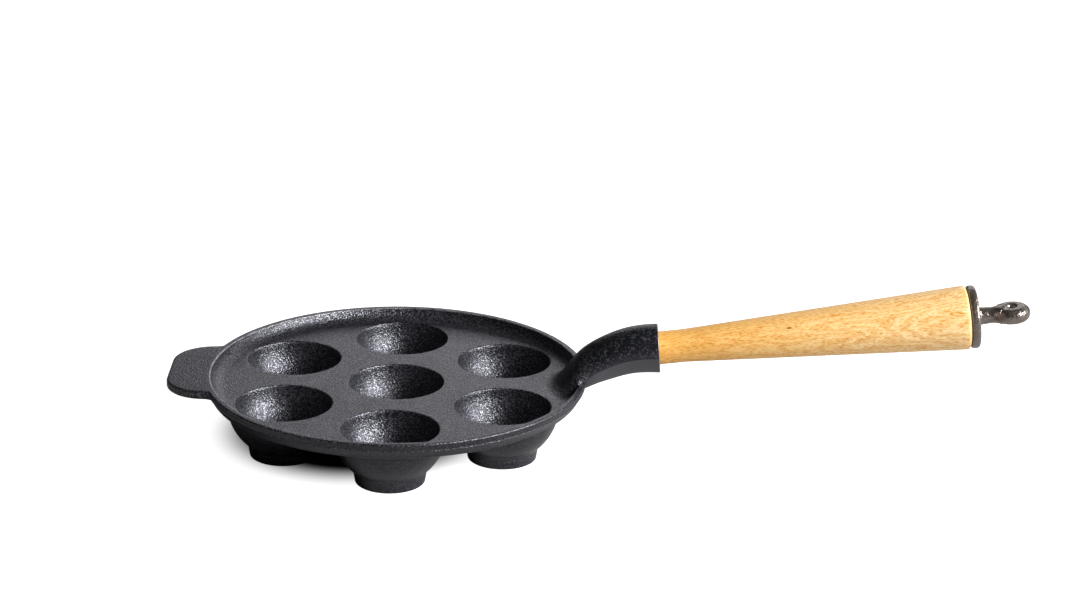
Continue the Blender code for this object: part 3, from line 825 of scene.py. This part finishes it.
stem_end = FLANGE_THICKNESS + EYE_DISTANCE - EYE_HOLE_RADIUS - EYE_WALL_UNDER_STEM
edge = FLANGE_RADIUS - FLANGE_ROUND
flange_profile = [(0.0, 0.0)]
flange_profile += arc(edge, FLANGE_ROUND, FLANGE_ROUND, -90, 0, 8)
flange_profile += arc(edge, FLANGE_THICKNESS - FLANGE_ROUND, FLANGE_ROUND, 0, 90, 8)
flange_profile += arc(STEM_RADIUS + STEM_FILLET, FLANGE_THICKNESS + STEM_FILLET, STEM_FILLET,
                      270, 180, 10)
flange_profile += [(EYE_THICKNESS / 2 - STEM_INSET, stem_end), (0.0, stem_end)]
cap = solid("cap", turned(finely(flange_profile, CAP_RING_STEP), CAP_SIDES))

half = EYE_THICKNESS / 2
outer = EYE_RADIUS - EYE_OUTER_ROUND
inner = EYE_HOLE_RADIUS + EYE_HOLE_FLARE
eye_profile = arc(outer, half - EYE_OUTER_ROUND, EYE_OUTER_ROUND, 0, 90, 12)
eye_profile += arc(inner, half - EYE_HOLE_FLARE, EYE_HOLE_FLARE, 90, 180, 8)
eye_profile += arc(inner, EYE_HOLE_FLARE - half, EYE_HOLE_FLARE, 180, 270, 8)
eye_profile += arc(outer, EYE_OUTER_ROUND - half, EYE_OUTER_ROUND, 270, 360, 12)
eye = solid("eye", turned(eye_profile, CAP_SIDES), closed=True)
eye_place = Matrix.Translation((0.0, 0.0, FLANGE_THICKNESS + EYE_DISTANCE)) @ Matrix.Rotation(
    math.pi / 2, 4, "Y")
flare(cap, eye_profile, eye_place, EYE_FILLET)
eye.data.transform(eye_place)
combine(cap, eye, "UNION", "EXACT")
combine(cap, solid("tapped hole", turned([
    (0.0, -CUT_OVERRUN), (ROD_HOLE_RADIUS, -CUT_OVERRUN),
    (ROD_HOLE_RADIUS, TAPPED_DEPTH), (0.0, TAPPED_DEPTH),
], TAPPED_SIDES)), "DIFFERENCE", "EXACT")
cap.data.transform(handle_place @ Matrix.Translation((0.0, 0.0, CAP_START)))

# Oiled cast iron, browner than the pan because its coat is thinner, and rubbed glossy by handling.
cap_iron = bpy.data.materials.new("oiled cast iron")
cap_iron.use_nodes = True
tree = cap_iron.node_tree
shader = tree.nodes["Principled BSDF"]
shader.inputs["Metallic"].default_value = 0.8
place = node(tree, "ShaderNodeTexCoord").outputs["Object"]
skin = node(tree, "ShaderNodeTexNoise", {"Vector": place, "Scale": per_mm(CAP_GRAIN),
                                         "Detail": 2.0})
patches = node(tree, "ShaderNodeTexNoise", {"Vector": place, "Scale": per_mm(CAP_PATCH),
                                            "Detail": 3.0})
tone = node(tree, "ShaderNodeMix", {0: patches.outputs["Fac"], 6: linear("#5A524E"),
                                    7: linear("#92887F")}, data_type="RGBA")
tree.links.new(tone.outputs[2], shader.inputs["Base Color"])
gloss = node(tree, "ShaderNodeMapRange", {"Value": patches.outputs["Fac"],
                                          "From Min": CLOUD_RANGE[0], "From Max": CLOUD_RANGE[1],
                                          "To Min": CAP_ROUGHNESS[0], "To Max": CAP_ROUGHNESS[1]})
tree.links.new(gloss.outputs["Result"], shader.inputs["Roughness"])
bump = node(tree, "ShaderNodeBump", {"Height": skin.outputs["Fac"], "Strength": 1.0,
                                     "Distance": CAP_RELIEF})
tree.links.new(bump.outputs["Normal"], shader.inputs["Normal"])
dress(cap, cap_iron, "cap_iron", "end_cap")


# Table and studio
# A plain pale table. A large soft box stands in front and to the right, low enough to light the
# left side of each well only, and a pale panel stands behind the table for the plate to mirror.

TABLE_HALF = 4.0
bm = bmesh.new()
bmesh.ops.create_grid(bm, x_segments=1, y_segments=1, size=TABLE_HALF)
table = bpy.data.objects.new("table", bpy.data.meshes.new("table"))
bm.to_mesh(table.data)
bm.free()
bpy.context.scene.collection.objects.link(table)

# Pale paper with a painted shadow: its colour is dark in a soft disc under the pan, and outside
# that disc the camera also sees it glow, so that it runs out to white.
PAINTED_SHADOW_MIDDLE = (-0.025, 0.003, 0.0)
PAINTED_SHADOW_RADIUS = 0.056
PAINTED_SHADOW_EDGE = 0.030
paper = bpy.data.materials.new("white paper table")
paper.use_nodes = True
tree = paper.node_tree
shader = tree.nodes["Principled BSDF"]
shader.inputs["Roughness"].default_value = 0.9
place = node(tree, "ShaderNodeTexCoord").outputs["Object"]
away = node(tree, "ShaderNodeVectorMath", {0: place, 1: PAINTED_SHADOW_MIDDLE}, operation="DISTANCE")
clear = node(tree, "ShaderNodeMapRange", {"Value": away.outputs["Value"], "From Min": PAINTED_SHADOW_RADIUS,
                                          "From Max": PAINTED_SHADOW_RADIUS + PAINTED_SHADOW_EDGE},
             interpolation_type="SMOOTHSTEP")
# Painted shadow: the paper's colour runs from #1C1D20 under the pan to #BCBCBC outside.
painted_shadow_tone = node(tree, "ShaderNodeMix", {0: clear.outputs["Result"], 6: linear("#1C1D20"),
                                     7: linear("#BCBCBC")}, data_type="RGBA")
tree.links.new(painted_shadow_tone.outputs[2], shader.inputs["Base Color"])
rays = node(tree, "ShaderNodeLightPath")
glow = node(tree, "ShaderNodeMath", {0: rays.outputs["Is Camera Ray"], 1: clear.outputs["Result"]},
            operation="MULTIPLY")
tree.links.new(glow.outputs["Value"], shader.inputs["Emission Strength"])
shader.inputs["Emission Color"].default_value = (1.0, 1.0, 1.0, 1.0)
table.data.materials.append(paper)

# The room: white to the camera, and dim to everything else.
ROOM_LIGHT = 0.045
world = bpy.data.worlds.new("studio")
bpy.context.scene.world = world
world.use_nodes = True
tree = world.node_tree
background = tree.nodes["Background"]
background.inputs["Color"].default_value = (1.0, 1.0, 1.0, 1.0)
rays = node(tree, "ShaderNodeLightPath")
room = node(tree, "ShaderNodeMapRange", {"Value": rays.outputs["Is Camera Ray"],
                                         "To Min": ROOM_LIGHT, "To Max": 1.0})
tree.links.new(room.outputs["Result"], background.inputs["Strength"])


def soft_box(name, azimuth, elevation, distance, width, height, power):
    """A rectangular area lamp aimed at the pan and unseen by the camera; the azimuth runs from +X
    towards +Y."""
    lamp = bpy.data.objects.new(name, bpy.data.lights.new(name, "AREA"))
    bpy.context.scene.collection.objects.link(lamp)
    lamp.data.shape = "RECTANGLE"
    lamp.data.size = width
    lamp.data.size_y = height
    lamp.data.energy = power
    lamp.visible_camera = False
    a, e = math.radians(azimuth), math.radians(elevation)
    way = Vector((math.cos(a) * math.cos(e), math.sin(a) * math.cos(e), math.sin(e)))
    aim = way.to_track_quat("Z", "Y").to_matrix().to_4x4()
    lamp.matrix_world = Matrix.Translation(way * distance) @ aim
    return lamp


soft_box("key", -22, 29, 2.4, 1.4, 0.9, 116.0)
soft_box("back panel", 78, 20, 2.6, 2.2, 0.9, 11.5)

bpy.context.scene.view_settings.view_transform = "Standard"
